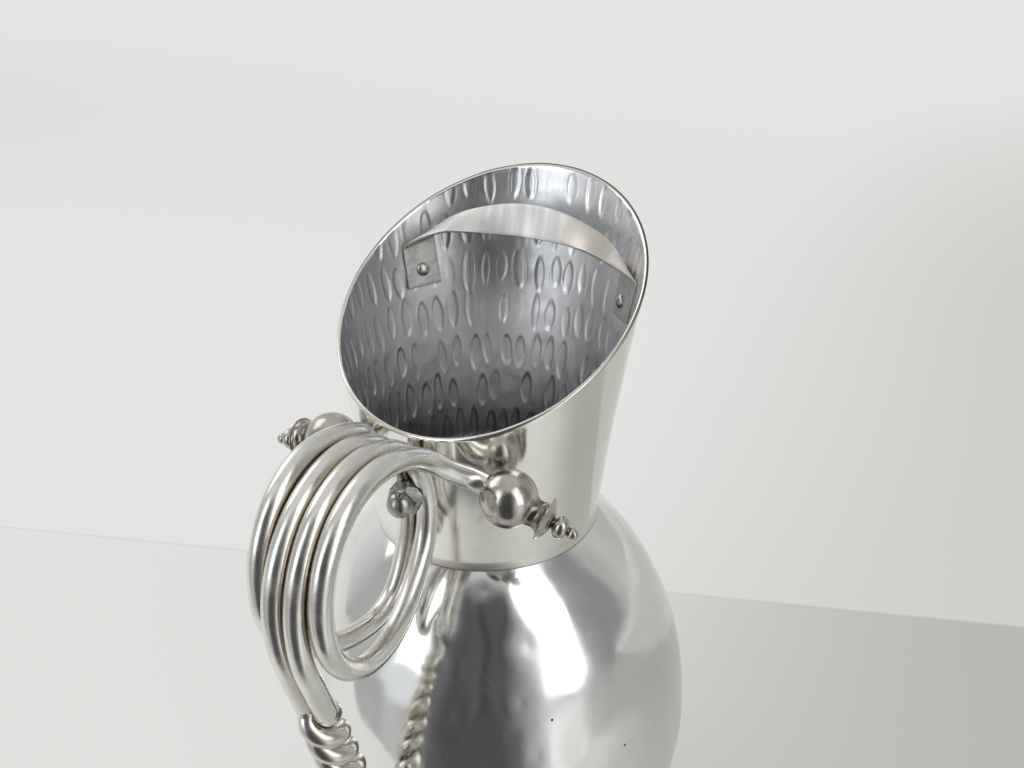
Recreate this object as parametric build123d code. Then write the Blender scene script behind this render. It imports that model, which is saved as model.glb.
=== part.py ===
"""Water pitcher of polished aluminium with a coiled two-rod handle.

The frame has its origin at the centre of the flat base, +Z up, the spout towards +X and the
handle towards -X. "Left" is the +Y side and "right" the -Y side. All sizes are in millimetres.
Heights written with "above the joint" are measured from the plane where the neck meets the body.
"""
import os
from math import acos, asin, atan, cos, degrees, pi, radians, sin, sqrt, tan

from build123d import *

SIDE_SIGN = {"right": -1, "left": 1}

# body: a spun globe with a flat base and a short collar that the neck is pressed over
SHEET = 1.6
JOINT_HEIGHT = 172.0
JOINT_RADIUS = 45.0
BELLY_HEIGHT = 74.5
BELLY_RADIUS = 85.3
LOWER_DROP = 90.0
FLOOR_THICKNESS = 2.0
BASE_EDGE_ROUND = 3.0
COLLAR_HEIGHT = 9.0
COLLAR_FIT = 0.1

# neck: a flaring sleeve whose mouth is cut on a slant, low at the handle and high at the spout
NECK_FLARE = 0.119
NECK_BELL = 0.000424
MOUTH_HEIGHT = 90.4
MOUTH_SLOPE = 0.567
RIM_ROUND = 0.5
BLANK_HEIGHT = 135.0
CUTTER = 400.0

# ice guard: one strip bent across the mouth, its two ends folded down the wall and riveted
STRIP_THICKNESS = 1.2
GUARD_NEAR_MIDDLE = (39.8, 104.4)
GUARD_NEAR_BOW = 0.0130
GUARD_NEAR_RISE = 0.0025
GUARD_FAR_MIDDLE = (43.6, 117.3)
GUARD_FAR_BOW = 0.0043
GUARD_FAR_FALL = 0.0068
GUARD_BRIDGE_HALF = 30.0
NEAR_SHOULDER = (0.5, 0.3)
FAR_SHOULDER = (1.0, 0.7)
BRIDGE_STEPS = 6
SHOULDER_STEPS = 8
TAB_GAP = 0.05
# tab corners as (degrees round from the spout, height above the joint); the rivet as its shares
# of the way from the near to the far edge and from the top to the foot
TAB = {
    "left": dict(
        near_top=(62.1, 96.3), near_foot=(62.2, 79.5),
        far_top=(47.7, 98.8), far_foot=(46.4, 80.3), rivet=(0.50, 0.60)),
    "right": dict(
        near_top=(60.5, 96.2), near_foot=(60.5, 80.4),
        far_top=(43.5, 97.0), far_foot=(44.0, 78.5), rivet=(0.58, 0.62)),
}
RIVET_SHANK = 3.2
RIVET_HEAD = 5.8
RIVET_HEAD_HEIGHT = 1.7

# handle: two round rods, twisted together below, coiled once each, and ending in the finials
ROD = 7.9
ROD_SPACING = 8.0
OUTER_TURN_OFFSET = 12.1
TWIST_STRAND = 7.5
TWIST_RADIUS = 4.15
TWIST_PITCH = 22.0
TWIST_TURNS = 4
TWIST_TOP = (-120.8, -11.9)
TWIST_LEAN = 17.0
TWIST_LEAD = 5.5
TAIL_TOP = -128.0
TAIL_END = -142.0
ROD_GAP = 0.1

# coil, as (x, height above the joint) of the rod's centre at the ends of each quarter turn
COIL = {
    "right": dict(
        outer=(-131.7, 32.0), top=(-95.5, 71.4), neck=(-53.85, 33.5),
        bottom=(-76.0, 4.5), bottom_y=6.9, bottom_dip=-0.49, bottom_drift=0.12,
        last_outer=(-129.5, 37.5), last_top=(-97.5, 71.0), leave=(-74.5, 65.4), leave_dip=28.0,
        arm=(-61.6, 16.6, 56.0), arm_turn=42.0, arm_dip=37.0,
        finial=(-53.0, 36.7, 44.2), finial_axis=(0.059, 0.933, -0.355)),
    "left": dict(
        outer=(-131.6, 33.0), top=(-93.5, 71.5), neck=(-53.85, 32.5),
        bottom=(-82.2, -5.3), bottom_y=6.9, bottom_dip=0.13, bottom_drift=0.12,
        last_outer=(-127.0, 39.0), last_top=(-95.5, 73.3), leave=(-72.0, 67.8), leave_dip=24.0,
        arm=(-60.6, 16.6, 60.5), arm_turn=41.0, arm_dip=35.0,
        finial=(-51.8, 36.6, 49.3), finial_axis=(0.051, 0.972, -0.229)),
}

# finials: turned knobs, with lengths along the axis from the centre of the ball
BALL = 10.4
SOCKET_BOTTOM = -2.0
COVE_START = 6.2
DISC_EDGE = (8.0, 14.0)
DISC_EDGE_LAND = 0.35
DISC_FACE = (5.9, 15.9)
DISC_NECK = (2.2, 17.3)
BEAD_START = (2.0, 17.8)
BEAD_MIDDLE = (4.1, 20.4)
BEAD_END = (1.6, 23.0)
TIP_STEM = 1.5
TIP_BALL = 2.15
TIP_LEVEL = 25.0

# fasteners: a 1/4 inch bolt and acorn nut at each end of the handle, sealed inside
BOLT = 6.35
BOLT_HOLE = 6.5
BOLT_HEAD = 12.0
BOLT_HEAD_HEIGHT = 3.2
BOLT_CHAMFER = 0.6
BOLT_TIP_ROOM = 1.0
DRILL_LENGTH = 24.0
UPPER_BOLT_HEIGHT = 41.0
LOWER_BOLT_HEIGHT = -130.0
NUT_FLATS = 11.1
NUT_HEX_HEIGHT = 5.0
NUT_CHAMFER = 0.5
NUT_DOME = 10.1
NUT_DOME_CENTRE = 5.6
NUT_BORE_DEPTH = 8.0
NUT_TURN = 12.0
UPPER_NUT_SEAT = 8.65
LOWER_NUT_SEAT = 8.05
WASHER = 15.0
WASHER_THICKNESS = 1.5

# values that follow from the sizes above
BELLY_TO_JOINT = JOINT_HEIGHT - BELLY_HEIGHT
SHOULDER_RISE = BELLY_TO_JOINT / sqrt(1 - (JOINT_RADIUS / BELLY_RADIUS) ** 2)


def at_joint(x, y, height):
    """A point given by its height above the joint."""
    return Vector(x, y, JOINT_HEIGHT + height)


def neck_radius(height):
    """Outer radius of the neck at a height above the joint."""
    return JOINT_RADIUS + NECK_FLARE * height + NECK_BELL * height ** 2


def neck_slope(height):
    """How fast the neck's radius grows with height."""
    return NECK_FLARE + 2 * NECK_BELL * height


def body_radius(height):
    """Outer radius of the body at a height above the joint (negative below it)."""
    rise = height + BELLY_TO_JOINT
    reach = SHOULDER_RISE if rise >= 0 else LOWER_DROP
    return BELLY_RADIUS * sqrt(1 - (rise / reach) ** 2)


def body_lean(height):
    """Angle in degrees by which the wall below the belly leans in going down."""
    drop = -(height + BELLY_TO_JOINT)
    return degrees(atan((BELLY_RADIUS / LOWER_DROP) ** 2 * drop / body_radius(height)))


def revolved(outline):
    """A full turn about Z of a closed outline drawn in the XZ plane."""
    return revolve(make_face(outline), axis=Axis.Z, revolution_arc=360)


def ball_arc(centre, radius, start, size):
    """Part of a circle about a point on the axis; angles from the horizontal, in degrees."""
    return CenterArc((0, centre), radius, start, arc_size=size)


def cap_arc(edge, level, rise):
    """A shallow dome's outline from its edge up to the axis (rise may be negative)."""
    radius = (edge ** 2 + rise ** 2) / (2 * abs(rise))
    reach = degrees(asin(edge / radius))
    if rise > 0:
        return ball_arc(level + rise - radius, radius, 90 - reach, reach)
    return ball_arc(level + rise + radius, radius, reach - 90, -reach)


def polar(radius, angle, height):
    """A point at a plan radius and an angle in degrees from the spout, above the joint."""
    return at_joint(radius * cos(radians(angle)), radius * sin(radians(angle)), height)


def elliptic_wall(inset, rise, start, end):
    """A smooth curve on a belly ellipse between two angles above its widest circle."""
    def at(angle):
        return Vector((BELLY_RADIUS - inset) * cos(angle), BELLY_HEIGHT + (rise - inset) * sin(angle))

    def along(angle):
        return Vector(-(BELLY_RADIUS - inset) * sin(angle), (rise - inset) * cos(angle))

    reach = 4 / 3 * tan((end - start) / 4)
    return Bezier(
        at(start), at(start) + along(start) * reach, at(end) - along(end) * reach, at(end))


def make_body_shell():
    """The globe: flat floor, elliptic lower and upper walls, and the collar at the top."""
    collar_outer = JOINT_RADIUS - SHEET - COLLAR_FIT
    collar_inner = collar_outer - SHEET
    collar_top = JOINT_HEIGHT + COLLAR_HEIGHT
    outer_low = elliptic_wall(0, LOWER_DROP, -asin(BELLY_HEIGHT / LOWER_DROP), 0)
    outer_high = elliptic_wall(0, SHOULDER_RISE, 0, acos(JOINT_RADIUS / BELLY_RADIUS))
    inner_high = elliptic_wall(
        SHEET, SHOULDER_RISE, 0, acos(collar_inner / (BELLY_RADIUS - SHEET)))
    inner_low = elliptic_wall(
        SHEET, LOWER_DROP, -asin((BELLY_HEIGHT - FLOOR_THICKNESS) / (LOWER_DROP - SHEET)), 0)
    collar = Polyline(
        outer_high @ 1, (collar_outer, JOINT_HEIGHT), (collar_outer, collar_top),
        (collar_inner, collar_top), inner_high @ 1)
    floor = Polyline(inner_low @ 0, (0, FLOOR_THICKNESS), (0, 0), outer_low @ 0)
    outline = Curve() + [outer_low, outer_high, collar, inner_high, inner_low, floor]
    shell = revolved(Plane.XZ * outline)
    base_edge = shell.edges().filter_by(GeomType.CIRCLE).group_by(Axis.Z)[0]
    return fillet(base_edge, BASE_EDGE_ROUND)


def mouth_plane():
    """The slanted plane of the mouth, facing up."""
    return Plane(
        origin=at_joint(0, 0, MOUTH_HEIGHT), x_dir=(1, 0, MOUTH_SLOPE), z_dir=(-MOUTH_SLOPE, 0, 1))


def make_neck_sleeve():
    """The flaring sleeve, cut off along the mouth plane, with a softly rounded rim."""
    def side(inset):
        heights = (0, BLANK_HEIGHT / 2, BLANK_HEIGHT)
        points = [(neck_radius(h) - inset, JOINT_HEIGHT + h) for h in heights]
        return ThreePointArc(*points)

    outer = side(0)
    inner = side(SHEET)
    outline = Curve() + [outer, Line(outer @ 1, inner @ 1), inner, Line(inner @ 0, outer @ 0)]
    sleeve = revolved(Plane.XZ * outline)
    above = mouth_plane() * Box(
        CUTTER, CUTTER, CUTTER, align=(Align.CENTER, Align.CENTER, Align.MIN))
    sleeve -= above
    rim = sleeve.faces().filter_by(GeomType.PLANE).sort_by(Axis.Z)[-1]
    return fillet(rim.edges(), RIM_ROUND)


def hermite(start, start_pull, end, end_pull, t):
    """A point on the cubic from start to end, leaving and arriving along the two pulls."""
    a = 2 * t ** 3 - 3 * t ** 2 + 1
    b = t ** 3 - 2 * t ** 2 + t
    c = -2 * t ** 3 + 3 * t ** 2
    d = t ** 3 - t ** 2
    return start * a + start_pull * b + end * c + end_pull * d


def guard_edge(middle, bow, fall, top, foot, shoulder):
    """Points of one long edge of the strip, from its middle to the foot of the tab."""
    def bridge(y):
        return at_joint(middle[0] - bow * y * y, y, middle[1] - fall * y * y)

    half = GUARD_BRIDGE_HALF
    points = [bridge(half * k / BRIDGE_STEPS) for k in range(BRIDGE_STEPS + 1)]
    start = points[-1]
    leave = Vector(-2 * bow * half, 1, -2 * fall * half).normalized()
    corner = on_tab(top)
    end = on_tab(foot)
    down = (end - corner).normalized()
    reach = (corner - start).length
    leave_pull = leave * reach * shoulder[0]
    down_pull = down * reach * shoulder[1]
    for k in range(1, SHOULDER_STEPS + 1):
        points.append(hermite(start, leave_pull, corner, down_pull, k / SHOULDER_STEPS))
    return points + [(corner + end) * 0.5, end]


def on_tab(place):
    """A point in the middle of the tab's thickness, given as (degrees round, height)."""
    angle, height = place
    radius = neck_radius(height) - SHEET - TAB_GAP - STRIP_THICKNESS / 2
    return polar(radius, angle, height)


def guard_half(tab):
    """Half of the strip with one tab, as if on the left, lofted through narrow rectangles."""
    near = guard_edge(GUARD_NEAR_MIDDLE, GUARD_NEAR_BOW, -GUARD_NEAR_RISE,
                      tab["near_top"], tab["near_foot"], NEAR_SHOULDER)
    far = guard_edge(GUARD_FAR_MIDDLE, GUARD_FAR_BOW, GUARD_FAR_FALL,
                     tab["far_top"], tab["far_foot"], FAR_SHOULDER)
    sections = []
    last = len(near) - 1
    for k in range(last + 1):
        before, after = max(k - 1, 0), min(k + 1, last)
        run = (near[after] + far[after]) - (near[before] + far[before])
        if k == 0:
            run = Vector(0, 1, 0)
        off = run.cross(far[k] - near[k]).normalized() * (STRIP_THICKNESS / 2)
        corners = [near[k] - off, far[k] - off, far[k] + off, near[k] + off]
        sections.append(Wire.make_polygon(corners, close=True))
    return Solid.make_loft(sections, ruled=True)


def make_ice_guard():
    """Both halves of the strip joined in the middle, drilled for the two rivets."""
    strip = guard_half(TAB["left"]) + mirror(guard_half(TAB["right"]), about=Plane.XZ)
    for side in TAB:
        strip -= rivet_plane(side) * Cylinder(RIVET_SHANK / 2, DRILL_LENGTH)
    return strip


def rivet_plane(side):
    """Plane in the middle of a tab's thickness at its rivet, facing into the mouth."""
    tab = TAB[side]
    across, along = tab["rivet"]
    near = on_tab(tab["near_top"]) * (1 - along) + on_tab(tab["near_foot"]) * along
    far = on_tab(tab["far_top"]) * (1 - along) + on_tab(tab["far_foot"]) * along
    down = on_tab(tab["near_foot"]) - on_tab(tab["near_top"])
    inward = down.cross(far - near)
    centre = near * (1 - across) + far * across
    sign = SIDE_SIGN[side]
    return Plane(
        origin=(centre.X, sign * centre.Y, centre.Z),
        z_dir=(inward.X, sign * inward.Y, inward.Z))


def make_ice_guard_rivets():
    """Two domed rivets: head on the tab, shank through tab and wall, tail ground flush."""
    seat = STRIP_THICKNESS / 2 + TAB_GAP
    head = cap_arc(RIVET_HEAD / 2, seat, RIVET_HEAD_HEIGHT)
    rivets = []
    for side in TAB:
        plane = rivet_plane(side)
        height = plane.origin.Z - JOINT_HEIGHT
        depth = neck_radius(height) - Vector(plane.origin.X, plane.origin.Y).length
        tail = -depth * cos(atan(neck_slope(height)))
        stem = Polyline(
            head @ 1, (0, tail), (RIVET_SHANK / 2, tail), (RIVET_SHANK / 2, seat), head @ 0)
        rivets.append(plane * revolved(Plane.XZ * (Curve() + [head, stem])))
    return Compound(children=rivets)


def two_arcs(start, start_dir, end, end_dir):
    """Two tangent arcs from start to end that leave and arrive along the given directions."""
    start_dir, end_dir = start_dir.normalized(), end_dir.normalized()
    chord = end - start
    square = 2 * (start_dir.dot(end_dir) - 1)
    slope = -2 * chord.dot(start_dir + end_dir)
    size = chord.dot(chord)
    if abs(square) < 1e-9:
        reach = -size / slope
    else:
        reach = (-slope - sqrt(slope ** 2 - 4 * square * size)) / (2 * square)
    middle = (start + start_dir * reach + end - end_dir * reach) * 0.5
    first = tangent_run(start, start_dir, middle)
    second = tangent_run(middle, first % 1, end)
    return [first, second]


def tangent_run(start, direction, end):
    """An arc that leaves start along direction, or a line where the end lies straight ahead."""
    chord = end - start
    if chord.cross(direction).length < 1e-4 * chord.length:
        return Line(start, end)
    return TangentArc(start, end, tangent=direction)


def run_through(nodes):
    """The edges of one smooth run through (point, direction) pairs."""
    edges = []
    for (start, start_dir), (end, end_dir) in zip(nodes[:-1], nodes[1:]):
        edges += two_arcs(start, start_dir, end, end_dir)
    return edges


def twist_nodes(sign):
    """Quarter-turn nodes of one strand, from the bottom of the twist up to its top."""
    lean = radians(TWIST_LEAN)
    down = Vector(sin(lean), 0, -cos(lean))
    across = Vector(cos(lean), 0, sin(lean))
    aside = Vector(0, 1, 0)
    top = at_joint(TWIST_TOP[0], 0, TWIST_TOP[1])
    length = TWIST_PITCH * TWIST_TURNS
    beside = aside * (sign * ROD_SPACING / 2)
    nodes = [(top + down * (length + TWIST_LEAD) + beside, -down)]
    quarters = 4 * TWIST_TURNS
    for k in range(quarters - 1, 0, -1):
        angle = sign * pi / 2 + k * pi / 2
        spoke = across * cos(angle) + aside * sin(angle)
        sweep_dir = aside * cos(angle) - across * sin(angle)
        point = top + down * (TWIST_PITCH * k / 4) + spoke * TWIST_RADIUS
        climb = down * (TWIST_PITCH / (2 * pi)) + sweep_dir * TWIST_RADIUS
        nodes.append((point, -climb))
    nodes.append((top - down * TWIST_LEAD + beside, -down))
    return nodes


def tail_nodes(sign):
    """The straight tail below the twist, laid against the lower wall of the body."""
    nodes = []
    for height in (TAIL_END, TAIL_TOP):
        lean = radians(body_lean(height))
        stand_off = ROD / 2 + ROD_GAP
        x = -body_radius(height) - stand_off * cos(lean)
        point = at_joint(x, sign * ROD_SPACING / 2, height - stand_off * sin(lean))
        nodes.append((point, Vector(-sin(lean), 0, cos(lean))))
    return nodes


def coil_nodes(side):
    """Nodes of the coil and the arm, from the top of the twist to the finial."""
    sign = SIDE_SIGN[side]
    coil = COIL[side]

    def node(place, y, direction):
        return at_joint(place[0], sign * y, place[1]), Vector(*direction)

    inner_y = ROD_SPACING / 2
    turn, dip = radians(coil["arm_turn"]), radians(coil["arm_dip"])
    arm = coil["arm"]
    ball, axis = finial_place(side)
    return [
        node(coil["outer"], inner_y, (0, 0, 1)),
        node(coil["top"], inner_y, (1, 0, 0)),
        node(coil["neck"], inner_y, (0, 0, -1)),
        node(coil["bottom"], coil["bottom_y"],
             (-1, sign * coil["bottom_drift"], coil["bottom_dip"])),
        node(coil["last_outer"], OUTER_TURN_OFFSET, (0, 0, 1)),
        node(coil["last_top"], OUTER_TURN_OFFSET, (1, 0, 0)),
        node(coil["leave"], OUTER_TURN_OFFSET, (1, 0, -tan(radians(coil["leave_dip"])))),
        (at_joint(arm[0], sign * arm[1], arm[2]),
         Vector(cos(turn) * cos(dip), sign * sin(turn) * cos(dip), -sin(dip))),
        (ball - axis * BALL, axis),
    ]


def finial_place(side):
    """Centre of a finial's ball and the direction from the rod to its tip."""
    sign = SIDE_SIGN[side]
    x, y, height = COIL[side]["finial"]
    ax, ay, az = COIL[side]["finial_axis"]
    return at_joint(x, sign * y, height), Vector(ax, sign * ay, az).normalized()


def rod_along(edges, diameter):
    """A round bar swept along joined edges."""
    path = Wire(edges)
    section = Plane(origin=path @ 0, z_dir=path % 0) * Circle(diameter / 2)
    return sweep(section, path=path)


def make_handle_rod(side):
    """One rod: tail, drawn-down twisted length, coil and arm, notched for both bolts."""
    sign = SIDE_SIGN[side]
    twist = twist_nodes(sign)
    ball, axis = finial_place(side)
    tail = run_through(tail_nodes(sign) + [twist[0]])
    strand = run_through(twist)
    coil = run_through([twist[-1]] + coil_nodes(side))
    coil.append(Line(ball - axis * BALL, ball + axis * SOCKET_BOTTOM))
    rod = rod_along(tail, ROD) + rod_along(strand, TWIST_STRAND) + rod_along(coil, ROD)
    for plane in (upper_bolt_plane(), lower_bolt_plane()):
        rod -= plane * Cylinder(BOLT_HOLE / 2, DRILL_LENGTH)
    return rod


def make_finial(side):
    """A turned knob: ball, cove, sharp-edged disc, bead and tip, bored for the rod's end."""
    cove_angle = degrees(acos(COVE_START / BALL))
    tip_angle = degrees(acos(TIP_STEM / TIP_BALL))
    ball_side = ball_arc(0, BALL, -90, 90 + cove_angle)
    tip_side = ball_arc(TIP_LEVEL, TIP_BALL, -tip_angle, 90 + tip_angle)
    land = (DISC_EDGE[0], DISC_EDGE[1] + DISC_EDGE_LAND)
    pieces = [
        ball_side,
        TangentArc(ball_side @ 1, DISC_EDGE, tangent=ball_side % 1),
        Line(DISC_EDGE, land),
        ThreePointArc(land, DISC_FACE, DISC_NECK),
        Line(DISC_NECK, BEAD_START),
        ThreePointArc(BEAD_START, BEAD_MIDDLE, BEAD_END),
        Line(BEAD_END, tip_side @ 0),
        tip_side,
        Line(tip_side @ 1, ball_side @ 0),
    ]
    knob = revolved(Plane.XZ * (Curve() + pieces))
    socket = Pos(0, 0, SOCKET_BOTTOM) * Cylinder(
        ROD / 2, 2 * BALL, align=(Align.CENTER, Align.CENTER, Align.MAX))
    ball, axis = finial_place(side)
    return Plane(origin=ball, z_dir=axis) * (knob - socket)


def upper_bolt_plane():
    """Plane on the neck's outer wall at the upper bolt, facing out through the rods."""
    height = UPPER_BOLT_HEIGHT
    outward = Vector(-1, 0, -neck_slope(height))
    return Plane(origin=at_joint(-neck_radius(height), 0, height), x_dir=(0, 1, 0), z_dir=outward)


def lower_bolt_plane():
    """Plane on the body's outer wall at the lower bolt, facing out through the rods."""
    height = LOWER_BOLT_HEIGHT
    lean = radians(body_lean(height))
    outward = Vector(-cos(lean), 0, -sin(lean))
    return Plane(origin=at_joint(-body_radius(height), 0, height), x_dir=(0, 1, 0), z_dir=outward)


def make_bolt(nut_seat):
    """Round-headed bolt along +Z, its head inside the wall, which lies at Z = 0."""
    head_seat = -SHEET - WASHER_THICKNESS
    tip = nut_seat + NUT_BORE_DEPTH - BOLT_TIP_ROOM
    head_edge = head_seat - BOLT_CHAMFER
    head = cap_arc(BOLT_HEAD / 2, head_edge, BOLT_CHAMFER - BOLT_HEAD_HEIGHT)
    stem = Polyline(
        head @ 1, (0, tip), (BOLT / 2 - BOLT_CHAMFER, tip), (BOLT / 2, tip - BOLT_CHAMFER),
        (BOLT / 2, head_seat), (BOLT_HEAD / 2, head_seat), head @ 0)
    return revolved(Plane.XZ * (Curve() + [head, stem]))


def make_acorn_nut():
    """Domed hexagon nut standing on Z = 0, bored from below."""
    hexagon = extrude(RegularPolygon(NUT_FLATS / 2, 6, major_radius=False), NUT_HEX_HEIGHT)
    flat, corner = NUT_FLATS / 2, NUT_FLATS / 2 + 2 * NUT_CHAMFER
    chamfer_disc = revolved(Plane.XZ * Polyline(
        (0, 0), (flat, 0), (corner, NUT_CHAMFER), (corner, NUT_HEX_HEIGHT - NUT_CHAMFER),
        (flat, NUT_HEX_HEIGHT), (0, NUT_HEX_HEIGHT), close=True))
    radius = NUT_DOME / 2
    dome = Pos(0, 0, NUT_DOME_CENTRE) * Sphere(radius)
    neck = Cylinder(radius, NUT_DOME_CENTRE, align=(Align.CENTER, Align.CENTER, Align.MIN))
    bore = Cylinder(BOLT / 2, NUT_BORE_DEPTH, align=(Align.CENTER, Align.CENTER, Align.MIN))
    return Rot(0, 0, NUT_TURN) * ((hexagon & chamfer_disc) + dome + neck - bore)


def make_sealing_washer():
    """Flat rubber ring under a bolt head, on the inner side of a wall at Z = 0."""
    ring = Cylinder(WASHER / 2, WASHER_THICKNESS) - Cylinder(BOLT / 2, WASHER_THICKNESS)
    return Pos(0, 0, -SHEET - WASHER_THICKNESS / 2) * ring


def main():
    os.makedirs("parts", exist_ok=True)
    upper = upper_bolt_plane()
    lower = lower_bolt_plane()
    body = make_body_shell()
    neck = make_neck_sleeve()
    neck -= upper * Cylinder(BOLT_HOLE / 2, DRILL_LENGTH)
    body -= lower * Cylinder(BOLT_HOLE / 2, DRILL_LENGTH)
    for side in TAB:
        neck -= rivet_plane(side) * Cylinder(RIVET_SHANK / 2, DRILL_LENGTH)
    nodes = {
        "body_shell": body,
        "neck_sleeve": neck,
        "ice_guard": make_ice_guard(),
        "ice_guard_rivets": make_ice_guard_rivets(),
        "handle_rod_left": make_handle_rod("left"),
        "handle_rod_right": make_handle_rod("right"),
        "finial_left": make_finial("left"),
        "finial_right": make_finial("right"),
        "upper_bolt": upper * make_bolt(UPPER_NUT_SEAT),
        "upper_sealing_washer": upper * make_sealing_washer() - neck,
        "upper_acorn_nut": upper * Pos(0, 0, UPPER_NUT_SEAT) * make_acorn_nut(),
        "lower_bolt": lower * make_bolt(LOWER_NUT_SEAT),
        "lower_sealing_washer": lower * make_sealing_washer() - body,
        "lower_acorn_nut": lower * Pos(0, 0, LOWER_NUT_SEAT) * make_acorn_nut(),
    }
    for name, shape in nodes.items():
        export_step(shape, f"parts/{name}.step")
        print(f"{name}: {shape.volume:.0f} mm3, {len(shape.solids())} solid(s)")


main()
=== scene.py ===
"""Looks of a polished aluminium water pitcher with a twisted, coiled two-rod handle.

Pieces are modelled in millimetres and brought to metres when they are finished. Textures,
floor, lamps and camera are in metres. The base stands on Z = 0, the spout is towards +X, the
handle towards -X, and left is +Y.
"""
import cmath
import math
import random

import bmesh
import bpy
from mathutils import Matrix, Vector, noise
from mathutils.kdtree import KDTree


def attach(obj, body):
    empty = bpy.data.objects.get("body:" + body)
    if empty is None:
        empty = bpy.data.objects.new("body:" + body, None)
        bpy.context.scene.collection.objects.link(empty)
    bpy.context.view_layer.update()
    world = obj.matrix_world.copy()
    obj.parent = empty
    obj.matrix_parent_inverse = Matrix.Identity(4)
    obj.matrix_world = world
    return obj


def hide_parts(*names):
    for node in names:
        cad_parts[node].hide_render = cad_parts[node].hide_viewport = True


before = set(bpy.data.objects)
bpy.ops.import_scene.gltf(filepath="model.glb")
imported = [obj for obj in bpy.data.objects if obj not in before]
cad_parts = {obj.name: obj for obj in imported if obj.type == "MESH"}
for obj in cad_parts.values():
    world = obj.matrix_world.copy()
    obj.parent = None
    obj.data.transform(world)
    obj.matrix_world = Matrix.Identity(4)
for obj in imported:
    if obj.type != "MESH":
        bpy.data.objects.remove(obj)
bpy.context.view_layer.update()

MM = 0.001
# Height of the joint between body and neck, and thickness of their sheet.
JOINT = 172.0
SHEET = 1.6


# Working tools

def added(name, data):
    """An object in the scene that holds a mesh, a lamp or a camera."""
    made = bpy.data.objects.new(name, data)
    bpy.context.scene.collection.objects.link(made)
    return made


def mesh_of(name, bm):
    """The mesh of a modelled shape, which is freed."""
    mesh = bpy.data.meshes.new(name)
    bm.to_mesh(mesh)
    bm.free()
    return mesh


def finished(name, bm, finish, nodes, crease=35.0):
    """Turns a modelled shape into a piece that rides on the body and stands for CAD nodes.

    Edges sharper than crease, in degrees, stay sharp.
    """
    bmesh.ops.scale(bm, vec=(MM, MM, MM), verts=bm.verts)
    mesh = mesh_of(name, bm)
    mesh.shade_smooth()
    mesh.set_sharp_from_angle(angle=math.radians(crease))
    mesh.materials.append(finish)
    piece = added(name, mesh)
    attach(piece, "root")
    for node in nodes:
        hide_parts(node)
    return piece


def clamped(value):
    """A value kept between 0 and 1."""
    return max(0.0, min(1.0, value))


def radius_of(vert):
    """Distance of a vertex from the Z axis."""
    return math.hypot(vert.co.x, vert.co.y)


def spun(outline, steps, closed=False):
    """A full turn about Z of an outline of (radius, height) points."""
    bm = bmesh.new()
    points = [bm.verts.new((r, 0.0, z)) for r, z in outline]
    pairs = list(zip(points, points[1:]))
    if closed:
        pairs.append((points[-1], points[0]))
    edges = [bm.edges.new(pair) for pair in pairs]
    bmesh.ops.spin(bm, geom=points + edges, cent=(0, 0, 0), axis=(0, 0, 1),
                   angle=math.tau, steps=steps, use_merge=True)
    bmesh.ops.remove_doubles(bm, verts=bm.verts, dist=1e-4)
    bmesh.ops.recalc_face_normals(bm, faces=bm.faces)
    return bm


def curve_of(start, bend, end, count):
    """Points of a quadratic curve, the last one left out."""
    points = []
    for k in range(count):
        t = k / count
        points.append(tuple(a * (1 - t) ** 2 + 2 * b * t * (1 - t) + c * t * t
                            for a, b, c in zip(start, bend, end)))
    return points


def dome(radius, height, rise, count):
    """(radius, height) points of a quarter of a dome, from its edge to the axis."""
    points = []
    for k in range(count):
        angle = math.radians(90 * k / count)
        points.append((radius * math.cos(angle), height + rise * math.sin(angle)))
    return points + [(0.0, height + rise)]


def arc_through(start, middle, end, count):
    """Points of the circular arc from start through middle to end in a plane, end included."""
    a, m, b = complex(*start), complex(*middle), complex(*end)
    ratio = (b - a) / (m - a)
    centre = a + (m - a) * (ratio - abs(ratio) ** 2) / (2j * ratio.imag)
    turn, sweep = (cmath.phase((p - centre) / (a - centre)) % math.tau for p in (m, b))
    if turn > sweep:
        sweep -= math.tau
    points = [centre + (a - centre) * cmath.exp(1j * sweep * k / count)
              for k in range(count + 1)]
    return [(p.real, p.imag) for p in points]


def dent(place):
    """A smooth random vector, each part from about -1 to 1."""
    return Vector([noise.noise(place + Vector((0, 0, shift))) for shift in (0.0, 31.7, 67.3)])


def placed(bm, origin, up, turn=0.0):
    """Moves a shape made about Z so that its axis runs along up from origin."""
    up = Vector(up).normalized()
    side = Vector((0, 1, 0)) if abs(up.y) < 0.9 else Vector((1, 0, 0))
    right = (side - up * side.dot(up)).normalized()
    basis = Matrix((right, up.cross(right), up)).transposed().to_4x4()
    matrix = Matrix.Translation(origin) @ basis @ Matrix.Rotation(math.radians(turn), 4, "Z")
    bmesh.ops.transform(bm, matrix=matrix, verts=bm.verts)
    return bm


# Finishes

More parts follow.
